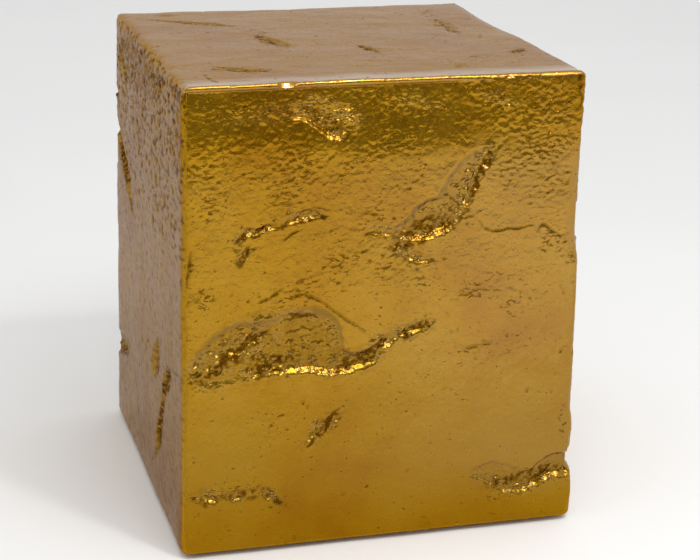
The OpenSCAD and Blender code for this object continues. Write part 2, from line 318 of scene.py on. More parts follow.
TOP_PATCHES = (
    (-120, 112, 30, 8, -35, 0.6), (-68, 6, 12, 40, 10, 0.7), (20, -52, 9, 22, 15, 0.6),
    (136, 60, 9, 42, 0, 0.5), (-128, -130, 26, 8, -20, 0.6), (164, -94, 14, 8, 45, 0.6),
    (-148, 166, 16, 8, 0, 0.5), (86, -150, 8, 16, 30, 0.5),
)
PLAIN_PATCHES = ((-60, 318, 60, 12, 0, 0.6), (100, 134, 60, 12, 8, 0.6), (90, 384, 40, 10, 0, 0.5))

# A stain is a patch where the hollows are dark brown, in the same form
FRONT_STAINS = (
    (-112, 196, 26, 6, -6, 1.0), (-118, 188, 28, 5, 0, 1.0), (-12, 197, 18, 5, 45, 0.9),
    (-184, 182, 10, 7, 0, 1.0), (-140, 212, 30, 6, 32, 1.0), (-160, 192, 22, 6, 25, 0.8),
    (-30, 190, 24, 6, 30, 0.8), (92, 364, 30, 4, 66, 1.0), (20, 300, 20, 5, 10, 0.8),
    (40, 313, 34, 9, 15, 0.6), (-75, 237, 9, 2, 0, 0.9), (-130, 320, 20, 4, 20, 0.8),
    (-82, 329, 24, 3, 8, 0.8), (-140, 298, 9, 4, 60, 0.8), (-180, 60, 14, 4, -20, 0.5),
    (-140, 62, 26, 5, 0, 0.5), (-108, 56, 18, 4, -40, 0.45), (150, 52, 46, 7, 8, 0.6),
    (-62, 122, 26, 3, 48, 0.9), (30, 216, 22, 5, 20, 0.7), (-62, 420, 34, 8, -35, 0.5),
    (192, 440, 5, 18, 0, 0.6),
)
LEFT_STAINS = (
    (-160, 318, 60, 8, -32, 1.0), (-150, 412, 26, 6, -38, 1.0), (176, 446, 20, 6, 0, 1.0),
    (70, 440, 60, 5, 4, 0.8), (-20, 446, 24, 4, 0, 0.9), (-190, 374, 18, 7, -10, 0.9),
    (60, 158, 26, 8, 50, 0.8), (108, 148, 30, 7, 45, 0.8), (76, 90, 9, 36, -25, 0.8),
    (-160, 88, 50, 6, 14, 0.8), (-60, 425, 150, 22, 0, 0.35),
)
TOP_STAINS = (
    (-120, 112, 34, 3, -38, 0.9), (-70, 10, 5, 36, 8, 0.9), (20, -54, 4, 22, 15, 0.9),
    (137, 50, 4, 44, 0, 0.8), (-128, -130, 30, 4, -18, 0.9), (164, -94, 14, 4, 45, 0.8),
)
PLAIN_STAINS = ((-60, 316, 60, 6, 0, 0.8), (100, 132, 60, 6, 8, 0.8), (90, 384, 40, 5, 0, 0.8))

# A cluster of nicks: across, height, two radii, slant in degrees and how many
FRONT_NICKS = (
    (-90, 378, 34, 24, 35, 130), (-165, 398, 26, 14, 20, 36), (-183, 380, 10, 14, 60, 20),
    (-172, 350, 14, 16, 60, 20), (-95, 355, 9, 7, 30, 12), (-35, 380, 16, 12, 50, 34),
    (25, 362, 30, 22, 30, 18), (-15, 326, 18, 10, 35, 18), (10, 395, 50, 10, 10, 34),
    (145, 408, 42, 20, -25, 120), (150, 384, 38, 14, 25, 80), (165, 350, 26, 20, 40, 30),
    (120, 352, 8, 4, 30, 8), (-180, 262, 12, 9, 60, 18), (-85, 262, 24, 12, 20, 36),
    (-50, 286, 18, 12, 30, 38), (-35, 289, 22, 5, 33, 26), (0, 280, 14, 8, 0, 26),
    (35, 262, 24, 10, -10, 12), (90, 250, 24, 9, 0, 16), (120, 262, 18, 14, 0, 12),
    (130, 235, 24, 14, 0, 12), (100, 190, 34, 10, 0, 18), (-75, 206, 26, 12, 25, 34),
    (-150, 222, 30, 8, 25, 22), (170, 296, 14, 10, -40, 14), (187, 275, 6, 5, 0, 10),
    (30, 140, 40, 30, -20, 20), (-110, 130, 14, 10, 20, 9), (-60, 124, 22, 8, 45, 24),
    (-150, 66, 26, 9, 0, 28), (-112, 60, 14, 7, -35, 12), (150, 48, 40, 9, 15, 64),
    (185, 105, 6, 16, 0, 10), (-20, 57, 10, 4, 0, 7), (20, 290, 26, 8, -20, 26),
    (-150, 433, 34, 8, 10, 80), (-112, 430, 10, 8, 40, 26), (-62, 424, 34, 14, -40, 120),
    (0, 432, 34, 12, -30, 70), (-10, 400, 30, 10, 10, 40), (40, 428, 26, 9, 20, 40),
    (100, 436, 40, 9, -20, 50), (160, 436, 26, 14, -25, 60),
)
SIDE_NICKS = (
    (-60, 425, 130, 28, 0, 150), (60, 400, 120, 36, 10, 110), (-120, 360, 60, 40, 20, 60),
    (20, 330, 120, 40, 0, 60), (0, 240, 160, 60, 0, 50), (60, 155, 34, 16, 40, 24),
    (-20, 90, 140, 50, 0, 24),
)
BACK_NICKS = (
    (-60, 400, 110, 34, 20, 110), (90, 330, 80, 50, -20, 70), (-60, 230, 120, 60, 10, 50),
    (80, 90, 90, 40, 0, 40),
)
TOP_NICKS = (
    (-120, 112, 50, 10, -38, 40), (-68, 6, 14, 50, 12, 50), (20, -52, 12, 28, 15, 24),
    (138, 70, 12, 80, 0, 40), (-128, -128, 40, 14, -20, 34), (164, -94, 16, 10, 45, 20),
    (100, -125, 40, 26, 0, 40), (0, -20, 160, 140, 0, 90),
)

# How far an arris is worn in: the height, or the place along the top's edge, and the depth there
FRONT_RIGHT_WEAR = (
    (0, 0.5), (30, 0.6), (44, 1.2), (58, 3.8), (66, 6.2), (80, 3.6), (101, 2.0), (122, 4.2), (153, 3.2),
    (194, 2.8), (240, 2.4), (271, 2.2), (286, 5.4), (300, 6.8), (338, 6.2), (366, 4.6), (390, 3.0),
    (421, 1.2), (457, 0.4),
)
BACK_LEFT_WEAR = (
    (0, 0.6), (60, 1.0), (72, 1.2), (92, 2.2), (106, 1.2), (180, 1.8), (260, 0.8), (322, 1.4), (342, 1.8),
    (358, 1.2), (420, 1.0), (457, 1.8),
)
FRONT_LEFT_WEAR = (
    (0, 0.4), (120, 0.9), (176, 2.0), (200, 0.8), (270, 1.0), (292, 1.9), (330, 0.8), (408, 1.8),
    (440, 1.0), (452, 3.4), (457, 4.2),
)
BACK_RIGHT_WEAR = (
    (0, 0.5), (90, 3.2), (130, 5.0), (170, 1.6), (290, 2.0), (360, 4.4), (400, 1.4), (457, 1.0),
)
TOP_RIGHT_WEAR = (
    (-197, 0.4), (-120, 1.4), (-20, 1.0), (40, 3.0), (90, 4.4), (140, 3.4), (197, 0.8),
)
TOP_BACK_WEAR = (
    (-197, 1.0), (-120, 1.6), (-60, 2.4), (0, 4.4), (60, 4.2), (120, 1.2), (197, 1.8),
)
TOP_LEFT_WEAR = (
    (-197, 1.2), (-120, 2.6), (-60, 1.0), (10, 1.6), (70, 2.8), (130, 0.8), (180, 1.4), (197, 2.8),
)

# The front leans back under its top edge: across the face and the height where that starts
CROWN_START = (
    (-197, 392), (-150, 390), (-100, 388), (-60, 386), (-20, 376), (30, 374), (70, 384), (110, 394),
    (150, 398), (197, 400),
)
CROWN_TURN = 28.0     # height over which the lean comes in
CROWN_SLOPE = 0.105   # how far it then leans back for each millimetre of height
RIPPLE = 0.55         # height of the fine ripples where the nicks lie thick
SCAR_REACH = 75.0     # how far from their deepest lines scars and grooves can reach
GROOVE_REACH = 6.0
COARSE_CRUMB = 6.0    # sizes of the facets on crumbled surfaces
FINE_CRUMB = 3.2


def scar_relief(place, strokes):
    """Depth of the flake scars at places on a face, how broken the surface is there, and how greyed along
    the scars' lips.
    """
    depth, broken, greyed = np.zeros((3, len(place)))
    for shoulder_width, stroke in strokes:
        distance, values = along(place, stroke, SCAR_REACH)
        near = np.flatnonzero(np.isfinite(distance))
        d = distance[near]
        deep, reach, wall = values[near].T
        shoulder = np.minimum(shoulder_width, 0.7 * reach)
        down = (reach - d) / shoulder
        floor = 0.55 * smooth(down) + 0.45 * np.clip(1 - d / reach, 0, 1) ** 1.2
        here = deep * np.where(d > 0, floor, smooth(1 + d / wall))
        foot = smooth(1.4 - d / np.minimum(2.0 * wall, 13.0))
        bed = 0.45 * smooth(down, 0.6, 1.0)
        torn = np.where(d > 0, np.maximum(foot, bed), smooth(1.5 + d / wall)) * smooth(deep, 0.4, 2.2)
        # The lips beside the scars' shoulders are coloured greyer.
        lip = np.exp(-((reach - 0.6 * shoulder - d) / (0.3 * shoulder)) ** 2) * smooth(deep, 0.8, 3.0)
        lip *= (d > 0) * smooth(reach, 8, 16) * (0.5 + 0.5 * smooth(shoulder_width, 4, 10))
        depth[near] = np.maximum(depth[near], here)
        broken[near] = np.maximum(broken[near], torn)
        greyed[near] = np.maximum(greyed[near], lip)
    return depth, broken, greyed


def groove_depth(place, strokes):
    """Depth of the cracks and scratches at places on a face."""
    depth = np.zeros(len(place))
    for stroke in strokes:
        distance, values = along(place, stroke, GROOVE_REACH)
        near = np.flatnonzero(np.isfinite(distance))
        deep, half = values[near].T
        here = 0.7 * deep * smooth(1.35 - np.abs(distance[near]) / half)
        depth[near] = np.maximum(depth[near], here)
    return depth


def turned(place, across, up, slant):
    """Places measured from a centre, along and across a slanted direction."""
    u, v = place[:, 0] - across, place[:, 1] - up
    c, s = math.cos(slant), math.sin(slant)
    return u * c + v * s, v * c - u * s


def patch_share(place, patches):
    """How strongly any of the patches covers each place."""
    share = np.zeros(len(place))
    for across, up, long, wide, slant, strength in patches:
        u, v = turned(place, across, up, math.radians(slant))
        share = np.maximum(share, strength * smooth(1.25 - np.hypot(u / long, v / wide), 0, 0.6))
    return share


def nick_share(place, clusters):
    """How thick the finest nicks lie, which ripple the skin and which the material draws."""
    share = np.zeros(len(place))
    for across, up, long, wide, slant, count in clusters:
        u, v = turned(place, across, up, math.radians(slant))
        thick = min(1.0, 12.0 * count / (long * wide))
        share = np.maximum(share, thick * np.exp(-0.7 * ((u / long) ** 2 + (v / wide) ** 2)))
    return share


def nick_list(clusters, seed):
    """Short nicks thrown in clusters: each is across, up, direction, half length, half width and depth."""
    rng = np.random.default_rng(seed)
    for across, up, long, wide, slant, count in clusters:
        turn = math.radians(slant)
        for _ in range(count):
            u, v = rng.normal(0, 0.55, 2) * (long, wide)
            c, s = math.cos(turn), math.sin(turn)
            yield (across + u * c - v * s, up + u * s + v * c, turn + rng.normal(0, 0.45),
                   rng.uniform(0.9, 2.5), rng.uniform(0.5, 0.85), rng.uniform(0.15, 0.5))


def pore_list(count, low, high, size, seed):
    """Round pores scattered evenly between two corners, in the same form as the nicks."""
    rng = np.random.default_rng(seed)
    for _ in range(count):
        radius = rng.uniform(*size)
        yield (rng.uniform(low[0], high[0]), rng.uniform(low[1], high[1]), rng.uniform(0, math.pi),
               radius * rng.uniform(1.0, 1.8), radius, radius * rng.uniform(0.35, 0.7))


def stamped(place, marks):
    """Depth left at places by a list of small marks."""
    depth = np.zeros(len(place))
    order = np.argsort(place[:, 0])
    across = place[order, 0]
    for u, v, turn, long, wide, deep in marks:
        reach = 2.0 * max(long, wide)
        first, last = np.searchsorted(across, (u - reach, u + reach))
        chosen = order[first:last]
        chosen = chosen[np.abs(place[chosen, 1] - v) < reach]
        a, b = turned(place[chosen], u, v, turn)
        here = deep * np.exp(-1.2 * ((a / long) ** 2 + (b / wide) ** 2))
        depth[chosen] = np.maximum(depth[chosen], here)
    return depth


def facets(place, size, seed):
    """A crumbled surface: small tilted planes that meet in sharp edges, about -1 to 1."""
    rng = np.random.default_rng(seed)
    jitter = rng.uniform(0.1, 0.9, (64, 64, 2))
    tilt = rng.normal(0, 0.6, (64, 64, 3))
    scaled = place / size
    cell = np.floor(scaled).astype(int)
    best = np.full(len(place), np.inf)
    value = np.zeros(len(place))
    for step in itertools.product((-1, 0, 1), repeat=2):
        i, j = (cell + step).T % 64
        gap = scaled - cell - step - jitter[i, j]
        distance = (gap ** 2).sum(1)
        closer = distance < best
        best = np.where(closer, distance, best)
        value = np.where(closer, tilt[i, j, 2] + (gap * tilt[i, j, :2]).sum(1), value)
    return value


# Each face: its outward direction, the axes that run across and up it, its marks, and its seed
FACES = {
    "front": ((0, -1, 0), (0, 2), FRONT_SCARS, FRONT_GROOVES, FRONT_PATCHES, FRONT_STAINS, FRONT_NICKS, 11),
    "back": ((0, 1, 0), (0, 2), BACK_SCARS, BACK_GROOVES, PLAIN_PATCHES, PLAIN_STAINS, BACK_NICKS, 23),
    "left": ((-1, 0, 0), (1, 2), LEFT_SCARS, LEFT_GROOVES, LEFT_PATCHES, LEFT_STAINS, SIDE_NICKS, 37),
    "right": ((1, 0, 0), (1, 2), RIGHT_SCARS, SIDE_GROOVES, PLAIN_PATCHES, PLAIN_STAINS, SIDE_NICKS, 41),
    "top": ((0, 0, 1), (0, 1), TOP_SCARS, TOP_GROOVES, TOP_PATCHES, TOP_STAINS, TOP_NICKS, 53),
}


def small_marks(name, nicks, seed):
    """All the small marks on a face: its nicks, even pores, and larger pores high on the two sides."""
    low, high = (-200, 200) if name == "top" else (0, 460)
    marks = list(nick_list(nicks, seed + 5))
    marks += pore_list(170, (-200, low), (200, high), (0.6, 1.4), seed + 6)
    if name in ("left", "right"):
        marks += pore_list(150, (-200, 290), (200, 456), (1.4, 3.2), seed + 7)
        marks += pore_list(110, (-200, 380), (200, 456), (1.6, 3.2), seed + 8)
    return marks


def crown_lean(across, up):
    """How far the front has leaned back under its top edge, and how fully the lean has come in."""
    rise = np.clip((up - profile_at(across, CROWN_START)) / CROWN_TURN, 0, None)
    slope = CROWN_SLOPE * (1 - 0.6 * smooth(across, 30, 120))
    lean = slope * CROWN_TURN * np.where(rise < 1, rise ** 3 - 0.5 * rise ** 4, rise - 0.5)
    return lean, smooth(rise, 0.4, 1.2)


def face_relief(name, points):
    """One face's relief in millimetres, and for each place its painted shade and stain, how broken, how
    greyed and how nicked it is.
    """
    _, axes, scars, grooves, patches, stains, nicks, seed = FACES[name]
    place = points[:, axes].copy()
    if name == "left":
        place[:, 0] *= -1       # the left face is measured towards the front, as the eye meets it
    warp = np.column_stack([layered(points, 13, seed + k, 2) for k in (1, 2)])
    depth, broken, greyed = scar_relief(place + 1.6 * warp, scars)
    depth *= 1 + 0.2 * layered(points, 9, seed + 3, 2)
    thin = groove_depth(place + 0.9 * warp, grooves)
    thin *= smooth(layered(points, 8, seed + 12, 2), -0.9, 0.0)
    small = stamped(place, small_marks(name, nicks, seed))
    height = -depth - thin - small
    broken = np.maximum(broken, patch_share(place + 2.5 * warp, patches))
    broken *= smooth(layered(points, 11, seed + 4, 2), -0.75, 0.15)
    crumbled = np.flatnonzero(broken > 0.01)
    spots = place[crumbled] + warp[crumbled]
    crumbs = facets(spots, COARSE_CRUMB, seed + 9) + 0.5 * facets(spots, FINE_CRUMB, seed + 10)
    height[crumbled] += broken[crumbled] * (0.6 if name == "top" else 1.0) * crumbs
    lean, crown = crown_lean(*place.T) if name == "front" else np.zeros((2, len(place)))
    height -= lean
    nicked = nick_share(place + 3 * warp, nicks)
    height += RIPPLE * nicked * layered(points, (6.0, 6.0, 3.6), seed + 13, 2, 0.45)
    stain = patch_share(place + 3 * warp, stains)
    stain *= smooth(layered(points, 6, seed + 11, 2, 0.6), -0.35, 0.3)
    # Painted shade: the hollows darken with the depth of scars, cracks and small marks, less where the
    # front leans back under its top edge.
    shade_and_stain = np.clip(0.04 * depth + 0.6 * thin + 0.4 * small, 0, 1) * (1 - 0.85 * crown)
    # Stains join the same darkening; the left face's painted shade may go darker than the other faces'.
    shade_and_stain = np.minimum(np.maximum(shade_and_stain, stain), 0.85 if name == "left" else 0.6)
    return height, shade_and_stain, broken, greyed, nicked


def profile_at(position, profile):
    """A profile's value at positions along it, on a curve through its points."""
    line = rounded(profile)
    return np.interp(position, line[:, 0], line[:, 1])


def arris_wear(points, half, top):
    """How far the block's edges are worn in and chipped near each point, and how near an edge is."""
    x, y, z = points.T
    right, left, front, back, over = half - x, half + x, half + y, half - y, top - z
    worn = np.zeros(len(points))
    edges = (
        (right, front, z, FRONT_RIGHT_WEAR, 11), (left, back, z, BACK_LEFT_WEAR, 10),
        (left, front, z, FRONT_LEFT_WEAR, 7), (right, back, z, BACK_RIGHT_WEAR, 11),
        (over, right, y, TOP_RIGHT_WEAR, 9), (over, back, x, TOP_BACK_WEAR, 9),
        (over, left, -y, TOP_LEFT_WEAR, 6),
    )
    for a, b, position, profile, reach in edges:
        worn = np.maximum(worn, profile_at(position, profile) * np.exp(-(a ** 2 + b ** 2) / reach ** 2))
    nearest = np.column_stack([np.minimum(right, left), np.minimum(front, back), over])
    edge = np.sort(np.abs(nearest), axis=1)[:, 1]
    chips = smooth(layered(points, 24, 211, 3, 0.6), 0.15, 0.8) * np.exp(-edge / 4.5)
    ragged = smooth(layered(points, 9, 217, 2, 0.6), 0.0, 0.7) * np.exp(-(over + left) / 4.0)
    return worn + 2.0 * chips + 1.8 * ragged, np.exp(-edge / 5.0)


def skin_grain(points, normals):
    """The unevenness that all of the skin has: slow waves, a patchy grain and a fine tooth."""
    height = 0.75 * layered(points, 92, 101, 2, 0.5) + 0.24 * noise(points, 24, 107)
    patchy = smooth(layered(points, 70, 127, 2), -0.5, 0.6)
    flat = np.abs(normals[:, 2]) > 0.7
    grain = np.where(flat[:, None], (34.0, 9.0, 9.0), (9.0, 9.0, 13.0))
    height += (0.05 + 0.10 * patchy) * layered(points, grain, 113, 2, 0.55)
    return height + (0.02 + 0.035 * patchy) * noise(points, 4.0, 131)


def crown_wrinkles(points, front, top):
    """Patches of wrinkles where the front leans back, and longer waves at its top left."""
    x, _, z = points.T
    crown = front * smooth(z, 380, 410) * smooth(top + 4 - z, 0, 16)
    crown *= smooth(layered(points, 34, 163, 2), -0.25, 0.45)
    bent = points + 7 * noise(points, 30, 149)[:, None]
    folds = 0.16 * ridged(bent, (13, 13, 8), 151) - 0.06 + 0.24 * layered(bent, (7, 7, 4), 157, 2, 0.6)
    crests = 0.55 * ridged(bent, (10, 10, 8), 169) ** 5
    wave = front * smooth(z, 428, 438) * smooth(-x, 110, 150)
    return crown * (folds + crests) + 0.35 * wave * noise(bent, (42, 42, 9), 167)


def skin_relief(points, normals, half, top):
    """Height of the whole skin's relief at points on the plain rounded block, and its surface values."""
    shares = {name: np.clip(normals @ np.array(face[0], float), 0, 1) ** 2 for name, face in FACES.items()}
    height = skin_grain(points, normals) + crown_wrinkles(points, shares["front"], top)
    rough_side = normals[:, 0] ** 2 * (0.17 + 0.25 * smooth(points[:, 2], 200, 400))
    streaks = layered(points, (9, 15, 5), 139, 2, 0.6)
    height += rough_side * streaks
    shade_and_stain, broken, greyed, nicked = np.zeros((4, len(points)))
    for name, share in shares.items():
        seen = np.flatnonzero(share > 1e-4)
        values = face_relief(name, points[seen])
        for total, value in zip((height, shade_and_stain, broken, greyed, nicked), values):
            total[seen] += share[seen] * value
    worn, edge = arris_wear(points, half, top)
    height += 0.3 * edge * noise(points, 11, 223) - worn
    # Greyer along the worn arrises.
    greyed = np.maximum(greyed, edge * smooth(worn, 1.5, 6) * 0.8)
    # Painted shade in the troughs of the sides' streaks, heavier on the left face than on the right.
    streak_shade = np.where(normals[:, 0] < 0, 1.7, 0.7) * rough_side
    shade_and_stain = np.maximum(shade_and_stain, streak_shade * smooth(-streaks, 0.0, 0.7))
    looks = {"shade_and_stain": shade_and_stain, "broken": broken, "greyed": greyed, "nicked": nicked}
    looks["varnish"] = varnish_thickness(points, edge, broken)
    return height, looks


def varnish_thickness(points, edge, broken):
    """Share of clear varnish at each point. It is thin near the foot, the crown and the left of the front,
    and pools in the scars and along the front's top edge."""
    x, y, z = points.T
    facing = smooth(-y, 150, 190)
    front = smooth(z, 15, 90) * (1 - 0.8 * smooth(z, 360, 415)) * (0.28 + 0.9 * smooth(x, -120, 200))
    plain = (facing * front + (1 - facing) * 0.22) * (1 - 0.5 * edge)
    pooled = np.maximum(0.5 * broken, smooth(z, 449, 453))
    return np.maximum(plain, facing * pooled)


# ------------------------------------------------------------------ the casting

FINE_CELL = 1.3       # size of the skin's mesh across and up its front
SIDE_CELL = 1.9       # size along its sides, from front to back
PROUD = 1.2           # how far the relief's plain surface stands outside the CAD casting's sides
ARRIS = 6.0           # radius of the block's edges
FOOT_ARRIS = 10.0     # radius that the upright edges reach at the floor
FLAT_PLACE = (-96.0, 9.0)         # where the front's top edge is rubbed flat: middle and half width
FLAT_NORMAL = (0.022, -0.797, 0.603)
FLAT_DEPTH = 2.3
ARRIS_STEPS = (0.0, 0.9, 1.8, 2.8, 3.9, 5.2, 6.6)      # lines of points across an arris, from its corner
WALL_LEVELS = 12      # rows of points up the inside


def edge_spaced(low, high, cell):
    """Distances from low to high, closer together at both ends where the block's edges are rounded."""
    steps = np.array(ARRIS_STEPS)
    inner_low, inner_high = low + steps[-1], high - steps[-1]
    middle = np.linspace(inner_low, inner_high, round((inner_high - inner_low) / cell) + 1)
    return np.concatenate([low + steps[:-1], middle, (high - steps[:-1])[::-1]])


def rounded_block(sharp, half, low, high):
    """Moves points on a sharp block's surface onto one with rounded edges, and gives their normals."""
    foot = 1 - smooth(sharp[:, 2], low, low + 34)
    radius = ARRIS + (FOOT_ARRIS - ARRIS) * foot
    inner = sharp.copy()
    for axis in (0, 1):
        inner[:, axis] = np.clip(sharp[:, axis], -half + radius, half - radius)
    inner[:, 2] = np.clip(sharp[:, 2], low + ARRIS, high - ARRIS)
    outward = sharp - inner
    normals = outward / np.linalg.norm(outward, axis=1, keepdims=True)
    reach = np.column_stack([radius, radius, np.full(len(sharp), ARRIS)])
    return inner + normals * reach, normals


def block_grid(half, low, high, rim):
    """Points and four-sided faces of a sharp block's outside and its rim. The last value is the loop of
    points round the rim's inner edge."""
    across = edge_spaced(-half, half, FINE_CELL)
    back = edge_spaced(-half, half, SIDE_CELL)
    lines = across, back, edge_spaced(low, high, FINE_CELL)
    nx, ny, nz = (len(line) for line in lines)
    keys, quads = {}, []

    def index(*key):
        return keys.setdefault(key, len(keys))

    def sheet(corner, rows, columns):
        for r in range(rows - 1):
            for c in range(columns - 1):
                around = (r, c), (r, c + 1), (r + 1, c + 1), (r + 1, c)
                quads.append([index(*corner(*at)) for at in around])

    sheet(lambda r, c: (c, 0, r), nz, nx)
    sheet(lambda r, c: (nx - 1 - c, ny - 1, r), nz, nx)
    sheet(lambda r, c: (0, ny - 1 - c, r), nz, ny)
    sheet(lambda r, c: (nx - 1, c, r), nz, ny)
    sheet(lambda r, c: (c, r, nz - 1), ny, nx)
    a, b = (int(np.searchsorted(line + half, rim)) for line in (across, back))
    far_a, far_b = nx - 1 - a, ny - 1 - b
    for i in range(nx - 1):
        for j in range(ny - 1):
            if not (a <= i < far_a and b <= j < far_b):
                around = (i, j), (i, j + 1), (i + 1, j + 1), (i + 1, j)
                quads.append([index(*at, 0) for at in around])
    loop = [(i, b, 0) for i in range(a, far_a)] + [(far_a, j, 0) for j in range(b, far_b)]
    loop += [(i, far_b, 0) for i in range(far_a, a, -1)] + [(a, j, 0) for j in range(far_b, b, -1)]
    lattice = np.array(list(keys))
    points = np.column_stack([line[lattice[:, axis]] for axis, line in enumerate(lines)])
    return points, quads, [keys[key] for key in loop]


def inner_walls(points, loop, bottom, ceiling, lean):
    """Rings of points up the inside from the rim's inner loop, with faces for the walls and ceiling."""
    rings, faces = [], []
    previous = loop
    for step, level in enumerate(np.linspace(bottom, ceiling, WALL_LEVELS)[1:]):
        rings.append(points[loop] * (lean(level), lean(level), 0) + (0, 0, level))
        first = len(points) + step * len(loop)
        current = list(range(first, first + len(loop)))
        for a in range(len(loop)):
            b = (a + 1) % len(loop)
            faces.append([previous[b], previous[a], current[a], current[b]])
        previous = current
    faces.append(previous[::-1])
    return np.vstack(rings), faces


def rub_flat(points, top):
    """Takes a small flat off the front's top edge."""
    normal = np.array(FLAT_NORMAL)
    middle, half_width = FLAT_PLACE
    share = np.exp(-((points[:, 0] - middle) / half_width) ** 4)
    share *= (points[:, 2] > top - 16) * (points[:, 1] < 0)
    reach = points @ normal
    crest = reach[share > 0.5].max()
    return points - (share * np.maximum(reach - crest + FLAT_DEPTH * share, 0))[:, None] * normal


def make_casting():
    """The gold-leafed casting: stone-like relief outside, plain walls inside, closed all round its rim."""
    low, high = (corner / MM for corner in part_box("cast_shell"))
    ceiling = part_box("seat_board")[1].z / MM
    wall = high.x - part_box("base_panel")[1].x / MM
    top_corners = [v.co.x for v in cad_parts["cast_shell"].data.vertices if v.co.z > high.z * MM - MM]
    taper = max(top_corners) / MM / high.x - 1

    def lean(level):
        return 1 + taper * (level - low.z) / (high.z - low.z)

    half = high.x + PROUD
    sharp, quads, loop = block_grid(half, low.z, high.z, wall + PROUD)
    points, normals = rounded_block(sharp, half, low.z, high.z)
    height, looks = skin_relief(points, normals, half, high.z)
    height *= smooth(points[:, 2], low.z, low.z + 6)
    points[:, :2] *= lean(points[:, 2])[:, None]
    points += normals * height[:, None]
    points[:, 2] = np.maximum(points[:, 2], low.z)
    points = rub_flat(points, high.z)
    inside, walls = inner_walls(points, loop, low.z, ceiling, lean)
    mesh = bpy.data.meshes.new("casting")
    mesh.from_pydata((np.vstack([points, inside]) * MM).tolist(), [], quads + walls)
    mesh.validate()
    mesh.shade_smooth()
    for name, values in looks.items():
        attribute = mesh.attributes.new(name, "FLOAT", "POINT")
        attribute.data.foreach_set("value", np.concatenate([np.clip(values, 0, 1), np.zeros(len(inside))]))
    mesh.materials.append(gold_leaf())
    mesh.materials.append(raw_laminate())
    kinds = np.zeros(len(mesh.polygons), int)
    kinds[len(quads):] = 1
    mesh.polygons.foreach_set("material_index", kinds)
    casting = bpy.data.objects.new("gold_casting", mesh)
    bpy.context.collection.objects.link(casting)
    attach(casting, "block")
    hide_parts("cast_shell")


# ------------------------------------------------------------------ materials

class Nodes:
    """A material's node tree, with short ways to add and join nodes."""

    def __init__(self, name):
        self.material = bpy.data.materials.new(name)
        self.material.use_nodes = True
        self.tree = self.material.node_tree
        self.shader = self.tree.nodes["Principled BSDF"]
        self.place = self.add("TexCoord").outputs["Object"]

    def add(self, kind, **settings):
        node = self.tree.nodes.new("ShaderNode" + kind)
        for key, value in settings.items():
            setattr(node, key, value)
        return node

    def join(self, source, target):
        self.tree.links.new(source, target)

    def stretched(self, scale, turn=(0.0, 0.0, 0.0)):
        mapping = self.add("Mapping")
        mapping.inputs["Scale"].default_value = scale
        mapping.inputs["Rotation"].default_value = turn
        self.join(self.place, mapping.inputs["Vector"])
        return mapping.outputs["Vector"]

    def noise(self, scale, detail=3.0, roughness=0.55, at=None, distortion=0.0):
        node = self.add("TexNoise")
        node.inputs["Scale"].default_value = scale
        node.inputs["Detail"].default_value = detail
        node.inputs["Roughness"].default_value = roughness
        node.inputs["Distortion"].default_value = distortion
        self.join(at or self.place, node.inputs["Vector"])
        return node.outputs["Fac"]

    def attribute(self, name):
        return self.add("Attribute", attribute_name=name).outputs["Fac"]

    def ramp(self, value, *stops):
        node = self.add("ValToRGB")
        elements = node.color_ramp.elements
        while len(elements) < len(stops):
            elements.new(0.5)
        for element, (position, colour) in zip(elements, stops):
            element.position = position
            element.color = (*colour, 1.0) if len(colour) == 3 else colour
        self.join(value, node.inputs["Fac"])
        return node.outputs["Color"]

    def mix(self, factor, a, b, blend="MIX"):
        node = self.add("Mix", data_type="RGBA", blend_type=blend)
        for socket, value in (("Factor", factor), ("A", a), ("B", b)):
            target = [s for s in node.inputs if s.name == socket and s.enabled][0]
            if isinstance(value, (tuple, float, int)):
                target.default_value = (*value, 1.0) if isinstance(value, tuple) else value
            else:
                self.join(value, target)
        return [s for s in node.outputs if s.enabled][0]

    def maths(self, operation, a, b):
        node = self.add("Math", operation=operation)
        for socket, value in zip(node.inputs, (a, b)):
            if isinstance(value, (float, int)):
                socket.default_value = value
            else:
                self.join(value, socket)
        return node.outputs[0]

    def range(self, value, low, high):
        node = self.add("MapRange")
        node.inputs["To Min"].default_value = low
        node.inputs["To Max"].default_value = high
        self.join(value, node.inputs["Value"])
        return node.outputs["Result"]

    def bump(self, height, distance, under=None):
        node = self.add("Bump")
        node.inputs["Distance"].default_value = distance
        node.inputs["Strength"].default_value = 1.0
        self.join(height, node.inputs["Height"])
        if under is not None:
            self.join(under, node.inputs["Normal"])
        return node.outputs["Normal"]

    def finish(self, colour, roughness, normal, **fixed):
        self.join(colour, self.shader.inputs["Base Color"])
        self.join(roughness, self.shader.inputs["Roughness"])
        self.join(normal, self.shader.inputs["Normal"])
        for key, value in fixed.items():
            self.shader.inputs[key.replace("_", " ")].default_value = value
        return self.material


GOLD = (0.435, 0.218, 0.006)
OLD_GOLD = (0.375, 0.163, 0.004)
PALE_GOLD = (0.460, 0.248, 0.015)
# Colours of the painted shade and stains in the hollows: brown, then nearly black where darkest.
BROWN_SHADE_AND_STAIN = (0.165, 0.068, 0.003)
DEEP_SHADE_AND_STAIN = (0.030, 0.012, 0.001)
FLAKE_BASE = (0.530, 0.315, 0.055)
GREY_BASE = (0.280, 0.190, 0.075)
GRAZING_TINT = (0.66, 0.58, 0.55, 1.0)
BLACK, WHITE = (0, 0, 0), (1, 1, 1)
PLY = 1.5 * MM        # thickness of one veneer


